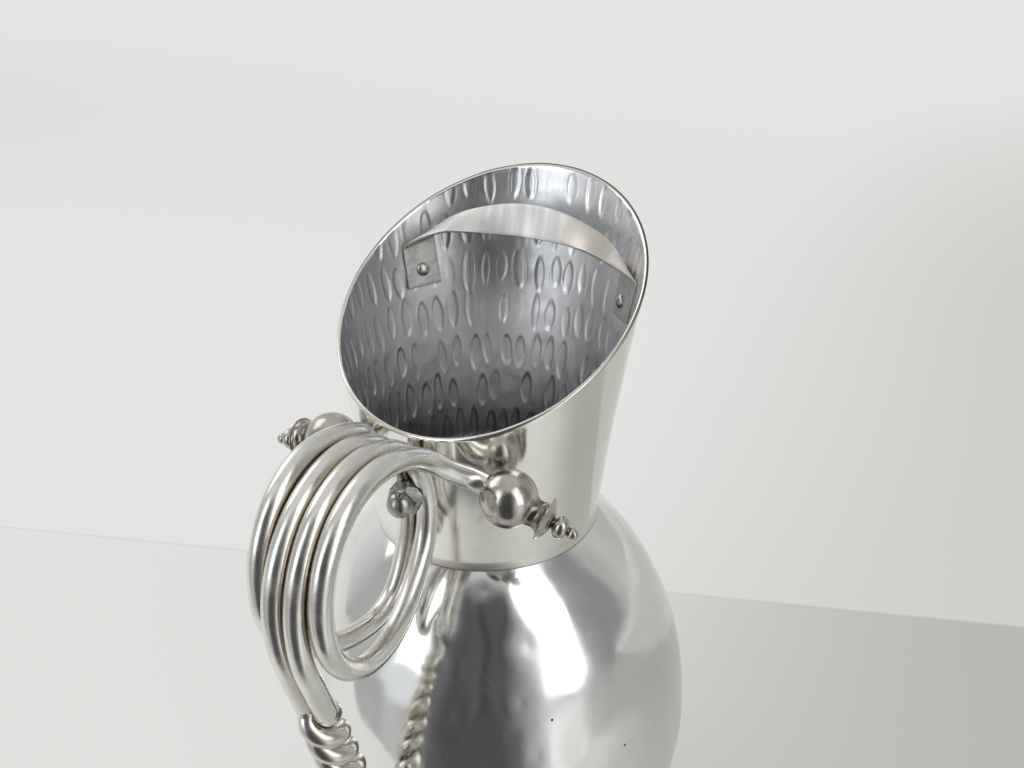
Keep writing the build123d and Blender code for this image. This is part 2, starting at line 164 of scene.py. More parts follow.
class Nodes:
    """A node tree with short calls for the nodes of finishes and room."""

    def __init__(self, tree):
        self.tree = tree
        tree.nodes.clear()

    def fill(self, made, inputs):
        """Gives a node's inputs constants, or links other nodes' outputs to them."""
        for key, value in inputs.items():
            socket = made.inputs[key]
            if isinstance(value, bpy.types.NodeSocket):
                self.tree.links.new(value, socket)
            elif socket.type == "RGBA":
                socket.default_value = (*value, 1.0)
            else:
                socket.default_value = value

    def node(self, kind, inputs=None, **settings):
        """A new node, its inputs as in fill."""
        made = self.tree.nodes.new(kind)
        for key, value in settings.items():
            setattr(made, key, value)
        self.fill(made, inputs or {})
        return made

    def split(self, vector):
        """X, Y and Z of a vector."""
        return self.node("ShaderNodeSeparateXYZ", {0: vector}).outputs

    def spread(self, value, low_in, high_in, low, high):
        """Goes softly from low to high as a value goes from low_in to high_in."""
        return self.node("ShaderNodeMapRange", {
            "Value": value, "From Min": low_in, "From Max": high_in,
            "To Min": low, "To Max": high}, interpolation_type="SMOOTHSTEP").outputs[0]

    def math(self, operation, *values):
        return self.node("ShaderNodeMath", dict(enumerate(values)), operation=operation).outputs[0]

    def plus(self, a, b):
        return self.math("ADD", a, b)

    def times(self, a, b):
        return self.math("MULTIPLY", a, b)

    def blend(self, amount, low, high):
        """Goes from one colour to another as an amount goes from 0 to 1."""
        return self.node("ShaderNodeMix", {0: amount, 6: low, 7: high},
                         data_type="RGBA").outputs[2]

    def blend_numbers(self, amount, low, high):
        return self.node("ShaderNodeMix", {0: amount, 2: low, 3: high},
                         data_type="FLOAT").outputs[0]

    def blend_shaders(self, amount, low, high):
        return self.node("ShaderNodeMixShader", {0: amount, 1: low, 2: high}).outputs[0]


class Finish(Nodes):
    """A node material with short calls for the textures that polished metal needs."""

    def __init__(self, name, metallic=0.0):
        self.material = bpy.data.materials.new(name)
        self.material.use_nodes = True
        super().__init__(self.material.node_tree)
        self.shader = self.node("ShaderNodeBsdfPrincipled", {"Metallic": metallic})
        self.output = self.node("ShaderNodeOutputMaterial", {"Surface": self.shader.outputs[0]})
        self.coords = self.node("ShaderNodeTexCoord").outputs["Object"]

    def stretched(self, scale, turn=(0, 0, 0)):
        """Coordinates turned by degrees about X, Y and Z and scaled."""
        return self.node("ShaderNodeMapping", {
            "Vector": self.coords, "Scale": scale,
            "Rotation": [math.radians(a) for a in turn]}).outputs[0]

    def noise(self, scale, detail, rough, where=None):
        return self.node("ShaderNodeTexNoise", {
            "Vector": where or self.coords, "Scale": scale, "Detail": detail,
            "Roughness": rough}).outputs["Fac"]

    def cells(self, scale, where):
        return self.node("ShaderNodeTexVoronoi", {"Vector": where, "Scale": scale,
                         "Smoothness": 1.0}, feature="SMOOTH_F1").outputs["Distance"]

    def attribute(self, name):
        return self.node("ShaderNodeAttribute", attribute_name=name).outputs["Fac"]

    def cloud(self, texture, low, high, first, second):
        """Goes from one colour to another as a texture goes from low to high."""
        return self.blend(self.spread(texture, low, high, 0.0, 1.0), first, second)

    def relief(self, height, depth, strength, under=None):
        """A bump of a depth in metres, on top of the bump under it."""
        made = self.node("ShaderNodeBump", {"Strength": strength, "Distance": depth,
                                            "Height": height})
        if under is not None:
            self.fill(made, {"Normal": under})
        return made.outputs[0]

    def distance(self, place):
        """Distance from a place, in metres."""
        return self.node("ShaderNodeVectorMath", {0: self.coords, 1: place},
                         operation="DISTANCE").outputs["Value"]

    def spot(self, place, size):
        """1 within a small spot about a place, both in metres, and 0 outside it."""
        return self.spread(self.distance(place), size * 0.6, size, 1.0, 0.0)

    def dressed(self, colour, roughness, normal):
        """The material with its three main looks given to the shader."""
        self.fill(self.shader, {"Base Color": colour, "Roughness": roughness,
                                "Normal": normal})
        return self.material


def hairlines(finish, density=1.0):
    """Fine polishing scratches in three directions, as a height that is 1 in a scratch."""
    marks = None
    for turn, scale in (((12, 20, 35), 420), ((70, -15, 110), 360), ((-40, 60, 10), 300)):
        lines = finish.noise(scale, 1.0, 0.4, finish.stretched((1.0, 0.035, 0.12), turn))
        thin = finish.spread(lines, 0.70 - 0.02 * density, 0.76, 0.0, 1.0)
        marks = thin if marks is None else finish.math("MAXIMUM", marks, thin)
    return marks


def polished_sheet():
    """Spun aluminium sheet: a soft mirror, planished, scratched, with a few small pits and a
    painted shade line under the neck's edge.
    """
    finish = Finish("polished_spun_aluminium", 1.0)
    clean = finish.cloud(finish.noise(26.0, 4.0, 0.55), 0.35, 0.7,
                         (0.89, 0.89, 0.88), (0.82, 0.82, 0.805))
    # Painted shade: a thin dark line round the joint under the neck's edge, joined here with the
    # real pits.
    pits_and_joint_shade = finish.attribute("grime_and_shade")
    for place, size in PITS:
        pits_and_joint_shade = finish.math("MAXIMUM", pits_and_joint_shade, finish.spot(place, size))
    scratches = hairlines(finish)
    smears = finish.spread(finish.noise(55.0, 3.0, 0.6), 0.32, 0.72, 0.09, 0.19)
    worn = finish.plus(smears, finish.times(scratches, 0.05))
    waves = finish.relief(finish.noise(34.0, 1.0, 0.3, finish.stretched((1.0, 1.0, 0.55))),
                          0.0016, 0.35)
    blows = finish.relief(finish.cells(85.0, finish.stretched((1.0, 1.0, 0.7))), 0.0007, 0.60,
                          waves)
    return finish.dressed(
        finish.blend(pits_and_joint_shade, clean, (0.10, 0.09, 0.08)),
        finish.plus(worn, finish.times(pits_and_joint_shade, 0.3)),
        finish.relief(scratches, 0.00001, 0.4, blows))


def hammered_sheet():
    """The neck: bright outside, softer inside where it was hammered, greyer there by painted
    shade.
    """
    finish = Finish("hammered_neck_aluminium")
    inside = finish.attribute("inside")
    edge = finish.attribute("edge")
    _, y, z = finish.split(finish.coords)
    bloom = finish.noise(40.0, 4.0, 0.6)
    outer = finish.cloud(bloom, 0.35, 0.7, (0.92, 0.905, 0.855), (0.87, 0.855, 0.80))
    inner = finish.cloud(bloom, 0.3, 0.7, (0.96, 0.96, 0.97), (0.89, 0.89, 0.90))
    # Painted shade on the inner wall: deep down near the joint (most on the +Y half), on the +Y
    # side, and just under the guard.
    deep_inner_shade = finish.times(finish.spread(z, 0.180, 0.218, 0.9, 0.0),
                        finish.spread(y, -0.035, 0.0, 0.1, 1.0))
    far_side_shade = finish.spread(y, 0.008, 0.045, 0.0, 0.72)
    guard_shadow = finish.spread(finish.distance((0.044, 0.010, 0.263)), 0.006, 0.028, 0.75, 0.0)
    # Each painted shade pulls the inner tone towards a dull grey.
    for painted_shade in (deep_inner_shade, far_side_shade, guard_shadow):
        inner = finish.blend(painted_shade, inner, (0.36, 0.36, 0.365))
    clean = finish.blend(inside, outer, inner)
    # Painted dark reflection: the rim's outer half is dark brown and not metallic, strongest
    # towards the spout.
    finish.fill(finish.shader, {"Metallic": finish.math("SUBTRACT", 1.0, edge),
                                "Specular IOR Level": 0.1})
    smooth = finish.spread(finish.noise(60.0, 3.0, 0.6), 0.35, 0.75, 0.10, 0.19)
    foot = finish.spread(z, 0.1735, 0.1775, 0.32, 0.0)
    dull = finish.spread(finish.noise(110.0, 2.0, 0.5), 0.3, 0.7, 0.32, 0.39)
    rough = finish.blend_numbers(inside, finish.plus(smooth, foot), dull)
    waves = finish.relief(finish.noise(30.0, 1.0, 0.3), 0.0012, 0.25)
    grain = finish.times(finish.noise(300.0, 2.0, 0.5), inside)
    return finish.dressed(
        finish.blend(edge, clean, (0.09, 0.08, 0.065)),
        finish.plus(rough, finish.times(hairlines(finish), 0.08)),
        finish.relief(grain, 0.0001, 0.2, waves))


def polished_strip():
    """The ice guard: brushed across its width, warm streaks to the right, dull on the tabs."""
    finish = Finish("brushed_guard_strip", 1.0)
    tab = finish.attribute("tab")
    streaks = finish.noise(330.0, 3.0, 0.6, finish.stretched((0.05, 1.0, 0.05)))
    broad = finish.noise(75.0, 2.0, 0.5, finish.stretched((0.08, 1.0, 0.08)))
    pale = finish.cloud(streaks, 0.35, 0.7, (0.84, 0.835, 0.815), (0.76, 0.745, 0.72))
    warm = finish.blend(finish.spread(broad, 0.45, 0.62, 0.0, 0.6), pale, (0.66, 0.59, 0.51))
    right = finish.spread(finish.split(finish.coords)[1], -0.022, 0.008, 1.0, 0.0)
    worn = finish.cloud(finish.noise(380.0, 3.0, 0.6), 0.35, 0.7,
                        (0.70, 0.685, 0.66), (0.56, 0.54, 0.51))
    rough = finish.spread(streaks, 0.3, 0.7, 0.46, 0.56)
    kinks = finish.relief(finish.noise(60.0, 1.0, 0.4, finish.stretched((0.3, 1.0, 0.3))),
                          0.0007, 0.15)
    return finish.dressed(
        finish.blend(tab, finish.blend(right, pale, warm), worn),
        finish.plus(rough, finish.times(tab, 0.08)),
        finish.relief(streaks, 0.00006, 0.5, kinks))


def polished_rod():
    """Handle rods: hand-polished bar, warm and worn; brown grime and painted shade where two
    lengths touch.
    """
    finish = Finish("polished_handle_rod", 1.0)
    clean = finish.cloud(finish.noise(90.0, 3.0, 0.55), 0.35, 0.7,
                         (0.86, 0.845, 0.80), (0.76, 0.74, 0.69))
    # Grime and painted shade: dark brown in the lines where the rods touch, also standing for the
    # shade and dark reflection of the other rod.
    grime_and_shade = finish.attribute("grime_and_shade")
    # Painted shade and tarnish: warmer and darker near the other rod, with a warm tarnish over the
    # whole twist.
    dim = finish.blend(finish.attribute("tarnish_and_shade"), clean, (0.58, 0.52, 0.42))
    scratches = hairlines(finish, 0.5)
    worn = finish.spread(finish.noise(130.0, 3.0, 0.6), 0.3, 0.75, 0.19, 0.31)
    rough = finish.plus(worn, finish.times(grime_and_shade, 0.3))
    dents = finish.relief(finish.noise(120.0, 2.0, 0.45), 0.0004, 0.35)
    return finish.dressed(
        finish.blend(grime_and_shade, dim, (0.13, 0.10, 0.075)),
        finish.plus(rough, finish.times(scratches, 0.05)),
        finish.relief(scratches, 0.00001, 0.4, dents))


def turned_knob():
    """Finials: turned metal gone grey-brown, dark in the grooves, with a finely pitted skin."""
    finish = Finish("turned_finial_metal", 1.0)
    bloom = finish.noise(160.0, 4.0, 0.6)
    clean = finish.cloud(bloom, 0.3, 0.72, (0.60, 0.58, 0.535), (0.46, 0.435, 0.39))
    pits = finish.spread(finish.noise(900.0, 2.0, 0.5), 0.64, 0.72, 0.0, -1.0)
    dents = finish.relief(finish.noise(260.0, 3.0, 0.5), 0.00025, 0.4)
    return finish.dressed(
        finish.blend(finish.attribute("groove"), clean, (0.17, 0.14, 0.105)),
        finish.spread(bloom, 0.3, 0.75, 0.15, 0.27),
        finish.relief(pits, 0.00006, 0.5, dents))


def plated_steel():
    """Bolts and acorn nuts: plate worn to a mid grey."""
    finish = Finish("bright_plated_steel", 1.0)
    bloom = finish.noise(300.0, 3.0, 0.6)
    return finish.dressed(
        finish.blend(bloom, (0.48, 0.475, 0.46), (0.32, 0.315, 0.30)),
        finish.spread(bloom, 0.3, 0.7, 0.16, 0.30),
        finish.relief(finish.noise(700.0, 3.0, 0.6), 0.00003, 0.3))


def dull_rivet():
    """Rivet heads: set by hammer, dull and slightly dented."""
    finish = Finish("dull_rivet_aluminium", 1.0)
    bloom = finish.noise(500.0, 3.0, 0.6)
    return finish.dressed(
        finish.blend(bloom, (0.62, 0.62, 0.61), (0.42, 0.41, 0.40)),
        finish.spread(bloom, 0.3, 0.7, 0.20, 0.34),
        finish.relief(finish.noise(650.0, 2.0, 0.5), 0.0002, 0.5))


def black_rubber():
    """Sealing washers: matt black rubber with a dusty bloom."""
    finish = Finish("black_sealing_rubber")
    dust = finish.noise(600.0, 4.0, 0.65)
    return finish.dressed(
        finish.blend(dust, (0.018, 0.018, 0.018), (0.06, 0.058, 0.055)),
        finish.spread(dust, 0.3, 0.7, 0.6, 0.85),
        finish.relief(dust, 0.0001, 0.5))


# Small pits in the body, each a place and a size in metres.
PITS = (
    ((-0.0546, -0.0541, 0.1243), 0.0007),
    ((-0.0333, -0.0758, 0.1019), 0.0007),
    ((-0.0780, -0.0200, 0.1123), 0.0005),
)

SHEET_FINISH = polished_sheet()
NECK_FINISH = hammered_sheet()
STRIP_FINISH = polished_strip()
ROD_FINISH = polished_rod()
KNOB_FINISH = turned_knob()
STEEL_FINISH = plated_steel()
RIVET_FINISH = dull_rivet()
RUBBER_FINISH = black_rubber()


# Body

BELLY_RADIUS = 85.3
BELLY_HEIGHT = 74.5
NECK_FOOT = 45.0
SHOULDER_RISE = (JOINT - BELLY_HEIGHT) / math.sqrt(1 - (NECK_FOOT / BELLY_RADIUS) ** 2)
LOWER_DROP = 90.0
BASE_RADIUS = 45.2
BASE_SHEET = 2.0
LEDGE_RADIUS = 45.35
COLLAR_OUTER = 43.3
COLLAR_INNER = 41.7
COLLAR_TOP = JOINT + 9.0


def belly_curve(inset, low_height, high_radius, count):
    """Points up a belly wall from a height near the base to a radius near the neck."""
    radius = BELLY_RADIUS - inset
    drop, rise = LOWER_DROP - inset, SHOULDER_RISE - inset
    start = -math.asin((BELLY_HEIGHT - low_height) / drop)
    end = math.acos(high_radius / radius)
    points = []
    for k in range(count + 1):
        angle = start + (end - start) * k / count
        reach = drop if angle < 0 else rise
        points.append((radius * math.cos(angle), BELLY_HEIGHT + reach * math.sin(angle)))
    return points


def belly_side(height):
    """Radius of the belly's lower half, and its wall's lean, at a height above the joint."""
    drop = BELLY_HEIGHT - JOINT - height
    radius = BELLY_RADIUS * math.sqrt(1 - (drop / LOWER_DROP) ** 2)
    return radius, math.atan((BELLY_RADIUS / LOWER_DROP) ** 2 * drop / radius)


def make_body():
    """The globe with its flat base, shoulder ledge and the collar inside the neck."""
    outer = belly_curve(0.0, 2.2, LEDGE_RADIUS, 130)
    base_edge = curve_of((BASE_RADIUS, 0.0), (47.6, 0.1), outer[0], 6)
    inner = belly_curve(SHEET, 3.2, COLLAR_INNER, 60)
    outline = [(0.0, 0.0), (20.0, 0.0), (36.0, 0.0)] + base_edge + outer
    outline += [(NECK_FOOT, JOINT), (COLLAR_OUTER, JOINT), (COLLAR_OUTER, COLLAR_TOP),
                (COLLAR_INNER, COLLAR_TOP)]
    outline += list(reversed(inner))
    outline += [(46.0, BASE_SHEET), (24.0, BASE_SHEET), (0.0, BASE_SHEET)]
    bm = spun(outline, 300)
    grime_and_shade = bm.verts.layers.float.new("grime_and_shade")
    low, high = 4.0, JOINT - 4.0
    for vert in bm.verts:
        radius, z = radius_of(vert), vert.co.z
        if radius > 50.0 and low < z < high:
            swell = noise.noise(vert.co * 0.045) * 0.24 + noise.noise(vert.co * 0.09) * 0.13
            fade = min(1.0, (high - z) / 15.0, (z - low) / 10.0)
            vert.co.xy *= 1 + swell * fade / radius
        # Painted shade: a thin dark line on the shoulder just under the neck's lower edge.
        if 43.0 < radius < 45.3 and abs(z - JOINT) < 0.5:
            vert[grime_and_shade] = 0.3
    finished("body_globe", bm, SHEET_FINISH, ["body_shell"])


# Neck

NECK_FLARE = 0.119
NECK_CURVE = 0.000424
MOUTH_MIDDLE = 90.4
MOUTH_SLANT = 0.567
RIM = SHEET / 2
MARK_ROWS = 8
MARK_PITCH = 17.6
FIRST_ROW = 14.0
MARKS_ROUND = 46
MARK_DEPTH = 0.34
RIDGE_HEIGHT = 0.17
RIDGE_WIDTH = 0.4
MARK_REACH = 1.2


def neck_radius(height):
    """Outer radius of the neck at a height above the joint."""
    return NECK_FOOT + NECK_FLARE * height + NECK_CURVE * height ** 2


def neck_slope(height):
    """How much the neck widens for each millimetre up."""
    return NECK_FLARE + 2 * NECK_CURVE * height


def mouth_height(azimuth, inset):
    """Height of the slanted mouth above the joint, in a direction round the neck."""
    height = MOUTH_MIDDLE
    for _ in range(12):
        height = MOUTH_MIDDLE + MOUTH_SLANT * (neck_radius(height) - inset) * math.cos(azimuth)
    return height


def ripple(azimuth, size, level):
    """A smooth random swell, from about -1 to 1, in a direction round the neck."""
    return noise.noise(Vector((math.cos(azimuth) * size, math.sin(azimuth) * size, level)))


def hammer_marks():
    """Rows of upright lens-shaped marks, each row with its shift round the neck.

    A mark is its azimuth, height, half length, half width, lean and depth.
    """
    chance = random.Random(41)
    rows = []
    for row in range(MARK_ROWS):
        shift = chance.uniform(0, 1)
        marks = []
        for k in range(MARKS_ROUND):
            azimuth = math.tau * (k + shift + chance.uniform(-0.16, 0.16)) / MARKS_ROUND
            depth = chance.uniform(0.55, 1.2) if chance.random() > 0.12 else 0.15
            marks.append((azimuth, FIRST_ROW + row * MARK_PITCH + chance.uniform(-1.5, 1.5),
                          chance.uniform(5.8, 8.0), chance.uniform(1.9, 2.8),
                          chance.uniform(-0.07, 0.07), depth))
        rows.append((shift, marks))
    return rows


def mark_relief(rows, azimuth, height):
    """How far the hammered inner wall is pushed outwards at one place, in millimetres."""
    relief = 0.0
    radius = neck_radius(height) - SHEET
    nearest = round((height - FIRST_ROW) / MARK_PITCH)
    for row in range(max(0, nearest - 1), min(MARK_ROWS, nearest + 2)):
        shift, marks = rows[row]
        slot = round(azimuth / math.tau * MARKS_ROUND - shift)
        for k in (slot - 1, slot, slot + 1):
            centre, middle, length, width, lean, depth = marks[k % MARKS_ROUND]
            along = abs(height - middle) / length
            if along >= MARK_REACH:
                continue
            turn = (azimuth - centre + math.pi) % math.tau - math.pi
            across = abs(turn * radius - lean * (height - middle))
            half = width * math.sqrt(max(0.01, 1 - along * along))
            if across < half and along < 1:
                relief += depth * MARK_DEPTH * (1 - (across / half) ** 4)
            ridge = math.exp(-((across - half) / RIDGE_WIDTH) ** 2)
            relief -= depth * RIDGE_HEIGHT * ridge * min(1.0, (MARK_REACH - along) * 3)
    return relief


def make_neck():
    """The sleeve: smooth outside, hammered inside, cut on a slant; a painted dark reflection on
    the rim.
    """
    steps, outer_rows, inner_rows, rim_rows = 680, 14, 112, 8
    # A ring's distance inside the outer wall, share of the height and drop below the top.
    outline = [(0.45, 0.0, RIM), (0.12, 0.003, RIM)]
    outline += [(0.0, 0.01 + 0.99 * k / outer_rows, RIM) for k in range(outer_rows)]
    outline += [(0.0, 1.0, 1.4), (0.0, 1.0, 1.1), (0.0, 1.0, RIM)]
    for k in range(1, rim_rows):
        turn = math.pi * k / rim_rows
        outline.append((RIM - RIM * math.cos(turn), 1.0, RIM - RIM * math.sin(turn)))
    outline += [(SHEET, 1.0 - k / inner_rows, RIM) for k in range(inner_rows + 1)]
    bm = spun([(100.0, float(k)) for k in range(len(outline))], steps, closed=True)
    rows = hammer_marks()
    inside = bm.verts.layers.float.new("inside")
    edge = bm.verts.layers.float.new("edge")
    for vert in bm.verts:
        inset, share, drop = outline[round(vert.co.z)]
        azimuth = math.atan2(vert.co.y, vert.co.x) % math.tau
        top = mouth_height(azimuth, inset) + 0.18 * ripple(azimuth, 5, 0.3)
        height = share * (top - drop)
        radius = neck_radius(height) - inset
        if inset >= SHEET:
            fade = min(1.0, (top - height) / 2.0) * min(1.0, height / 8.0)
            radius += mark_relief(rows, azimuth, height) * fade
            radius += 0.12 * ripple(azimuth, 9, height * 0.16) * fade
            vert[inside] = 1.0
        # Painted dark reflection on the rim's outer half, strongest on the spout side.
        elif share == 1.0 and drop < 1.0 and inset < 0.9:
            vert[edge] = clamped(0.7 + math.cos(azimuth))
        elif inset < 0.05:
            radius += 0.10 * ripple(azimuth, 2.6, height * 0.035) * min(1.0, height / 12.0)
        vert.co = (radius * math.cos(azimuth), radius * math.sin(azimuth), JOINT + height)
    bmesh.ops.recalc_face_normals(bm, faces=bm.faces)
    finished("neck_sleeve_hammered", bm, NECK_FINISH, ["neck_sleeve"],
             60.0)


# Ice guard

STRIP = 1.2
TAB_GAP = 0.05
TAB_SEAT = STRIP / 2 + TAB_GAP
GUARD_HALF = 30.0
GUARD_CROWN = 0.35
GUARD_BRIDGE = 14
GUARD_SHOULDER = 18
GUARD_TAB = 10
# Tab corners as (degrees round, height above the joint), rivets as shares across and down.
TAB = {
    "left": dict(
        sign=1, near_top=(62.1, 96.3), near_foot=(62.2, 79.5),
        far_top=(47.7, 98.8), far_foot=(46.4, 80.3), rivet=(0.50, 0.60)),
    "right": dict(
        sign=-1, near_top=(60.5, 96.2), near_foot=(60.5, 80.4),
        far_top=(43.5, 97.0), far_foot=(44.0, 78.5), rivet=(0.58, 0.62)),
}


def on_tab(place, sign):
    """A point in the middle of a tab's thickness, given as (degrees round, height)."""
    angle, height = math.radians(place[0]), place[1]
    radius = neck_radius(height) - SHEET - TAB_SEAT
    return Vector((radius * math.cos(angle), sign * radius * math.sin(angle), JOINT + height))


def guard_edge(middle, bow, fall, top, foot, shoulder, sign):
    """One long edge of the strip, from its middle over the shoulder to the tab's foot."""
    points = []
    for k in range(GUARD_BRIDGE + 1):
        y = GUARD_HALF * k / GUARD_BRIDGE
        points.append(Vector((middle[0] - bow * y * y, sign * y,
                              JOINT + middle[1] - fall * y * y)))
    corner, end = on_tab(top, sign), on_tab(foot, sign)
    leave = Vector((-2 * bow * GUARD_HALF, sign, -2 * fall * GUARD_HALF)).normalized()
    down = (end - corner).normalized()
    start, reach = points[-1], (corner - points[-1]).length
    for k in range(1, GUARD_SHOULDER + 1):
        t = k / GUARD_SHOULDER
        points.append(start * (2 * t ** 3 - 3 * t ** 2 + 1)
                      + leave * reach * shoulder[0] * (t ** 3 - 2 * t ** 2 + t)
                      + corner * (3 * t ** 2 - 2 * t ** 3)
                      + down * reach * shoulder[1] * (t ** 3 - t ** 2))
    return points + [corner.lerp(end, k / GUARD_TAB) for k in range(1, GUARD_TAB + 1)]


def guard_rungs(side):
    """Pairs of near and far points across the strip, from its middle to one tab's foot."""
    tab = TAB[side]
    near = guard_edge((39.8, 104.4), 0.0130, -0.0025, tab["near_top"], tab["near_foot"],
                      (0.5, 0.3), tab["sign"])
    far = guard_edge((43.6, 117.3), 0.0043, 0.0068, tab["far_top"], tab["far_foot"],
                     (1.0, 0.7), tab["sign"])
    return list(zip(near, far))


def extruded(bm, edges, order):
    """New vertices drawn out from edges, in the order of the old ones that they lie on."""
    made = bmesh.ops.extrude_edge_only(bm, edges=edges)["geom"]
    fresh = [item for item in made if isinstance(item, bmesh.types.BMVert)]
    return [min(fresh, key=lambda vert: (old.co - vert.co).length) for old in order]


def make_guard():
    """One strip bent over the mouth, thickened, with eased edges and soft hand-made kinks."""
    right, left = guard_rungs("right"), guard_rungs("left")
    rungs = list(reversed(right[1:])) + left
    bm = bmesh.new()
    tab = bm.verts.layers.float.new("tab")
    across = 8
    columns = None
    for index, (low, high) in enumerate(rungs):
        if columns is None:
            columns = [bm.verts.new(low.lerp(high, k / across)) for k in range(across + 1)]
            for pair in zip(columns, columns[1:]):
                bm.edges.new(pair)
        else:
            columns = extruded(bm, [e for e in bm.edges if set(e.verts) <= set(columns)],
                               columns)
        crown = (high - low).cross(Vector((0, 1, 0))).normalized() * GUARD_CROWN
        step = abs(index - len(right) + 1)
        for k, vert in enumerate(columns):
            vert.co = low.lerp(high, k / across)
            hump = math.sin(math.pi * k / across)
            vert.co -= crown * hump * max(0.0, 1 - abs(vert.co.y) / GUARD_HALF)
            vert[tab] = clamped((step - GUARD_BRIDGE - GUARD_SHOULDER + 7) / 6)
    for vert in bm.verts:
        vert.co += Vector((0, 0, 1)) * 0.25 * noise.noise(vert.co * 0.09) * (1 - vert[tab])
    bmesh.ops.recalc_face_normals(bm, faces=bm.faces)
    piece = finished("ice_guard_strip", bm, STRIP_FINISH, ["ice_guard"])
    wall = piece.modifiers.new("thickness", "SOLIDIFY")
    wall.thickness = STRIP * MM
    wall.offset = 0.0
    edge = piece.modifiers.new("eased_edges", "BEVEL")
    edge.width = 0.25 * MM
    edge.segments = 2
    edge.limit_method = "ANGLE"
    edge.angle_limit = math.radians(50)


def rivet_place(side):
    """Middle of a tab's thickness at its rivet, and the direction into the mouth."""
    tab = TAB[side]
    across, along = tab["rivet"]
    near_top, near_foot, far_top, far_foot = (
        on_tab(tab[name], 1) for name in ("near_top", "near_foot", "far_top", "far_foot"))
    near = near_top.lerp(near_foot, along)
    far = far_top.lerp(far_foot, along)
    inward = (near_foot - near_top).cross(far - near)
    mirror = Vector((1, tab["sign"], 1))
    return near.lerp(far, across) * mirror, inward.normalized() * mirror


def make_rivets():
    """Two hand-set domed rivets, their tails ground flush with the neck's outer wall."""
    shank, under_head, head = 1.6, 2.75, 2.9
    both = bmesh.new()
    for side in TAB:
        origin, inward = rivet_place(side)
        height = origin.z - JOINT
        slope = math.atan(neck_slope(height))
        tail = -(neck_radius(height) - math.hypot(origin.x, origin.y)) * math.cos(slope) - 0.03
        outline = [(0.0, tail), (shank, tail), (shank, TAB_SEAT), (under_head, TAB_SEAT)]
        outline += dome(head, TAB_SEAT + 0.12, 1.58, 12)
        one = placed(spun(outline, 40), origin, inward)
        for vert in one.verts:
            vert.co += dent(vert.co * 0.5) * 0.05
        shape = mesh_of("rivet", one)
        both.from_mesh(shape)
        bpy.data.meshes.remove(shape)
    finished("ice_guard_rivet_pair", both, RIVET_FINISH,
             ["ice_guard_rivets"])


# Handle rods

ROD = 7.9
STRAND = 7.3
TWIST_STAIN = 0.5
TWIST_TOP = Vector((-121.7, 0, JOINT - 9.0))
TWIST_LEAN = math.radians(17.0)
TWIST_PITCH = 22.0
TWIST_TURNS = 4
TWIST_SPREAD = 4.25
TWIST_LEAD = 2.5
FIRST_PASS = 4.0
SECOND_PASS = 12.1
KNOB_BALL = 10.4
BELLY_GAP = 0.1
# Places as (x, height above the joint), or with y between them; arm and leave dip in degrees.
COIL = {
    "right": dict(
        sign=-1, outer=(-131.7, 32.0), top=(-95.5, 71.4), neck=(-53.85, 33.5),
        bottom=(-76.0, 4.5), slope=-0.49, last_outer=(-129.5, 37.5), last_top=(-97.5, 71.0),
        leave=(-74.5, 65.4), leave_dip=28.0, arm=(-61.6, 16.6, 56.0), arm_turn=42.0,
        arm_dip=37.0, finial=(-53.0, 36.7, 44.2), axis=(0.059, 0.933, -0.355)),
    "left": dict(
        sign=1, outer=(-131.6, 33.0), top=(-93.5, 71.5), neck=(-53.85, 32.5),
        bottom=(-82.2, -5.3), slope=0.13, last_outer=(-127.0, 39.0), last_top=(-95.5, 73.3),
        leave=(-72.0, 67.8), leave_dip=24.0, arm=(-60.6, 16.6, 60.5), arm_turn=41.0,
        arm_dip=35.0, finial=(-51.8, 36.6, 49.3), axis=(0.051, 0.972, -0.229)),
}


def arc_run(start, direction, end, step):
    """Points along the arc that leaves start along direction and ends at end, end left out."""
    chord = end - start
    offset = chord - direction * chord.dot(direction)
    if offset.length < 1e-4 * chord.length:
        count = max(2, round(chord.length / step))
        return [start + chord * k / count for k in range(count)], direction
    aside = offset.normalized()
    radius = chord.length_squared / (2 * chord.dot(aside))
    angle = 2 * math.atan2(chord.dot(aside), chord.dot(direction))
    centre = start + aside * radius
    count = max(3, round(radius * angle / step))
    points = [centre + (direction * math.sin(angle * k / count)
                        - aside * math.cos(angle * k / count)) * radius for k in range(count)]
    return points, direction * math.cos(angle) + aside * math.sin(angle)


def smooth_run(nodes, step):
    """Points of two tangent arcs between each pair of (point, direction) nodes."""
    points = []
    for (start, leave), (end, arrive) in zip(nodes, nodes[1:]):
        leave, arrive = leave.normalized(), arrive.normalized()
        chord = end - start
        square = 2 * (leave.dot(arrive) - 1)
        slope = -2 * chord.dot(leave + arrive)
        size = chord.length_squared
        if abs(square) < 1e-9:
            reach = -size / slope
        else:
            reach = (-slope - math.sqrt(slope ** 2 - 4 * square * size)) / (2 * square)
        middle = (start + leave * reach + end - arrive * reach) / 2
        first, turned = arc_run(start, leave, middle, step)
        second, _ = arc_run(middle, turned, end, step)
        points += first + second
    return points + [nodes[-1][0]]


def finial_place(side):
    """Ball centre and axis of a knob."""
    coil = COIL[side]
    x, y, z = coil["finial"]
    ax, ay, az = coil["axis"]
    sign = coil["sign"]
    return Vector((x, sign * y, JOINT + z)), Vector((ax, sign * ay, az)).normalized()


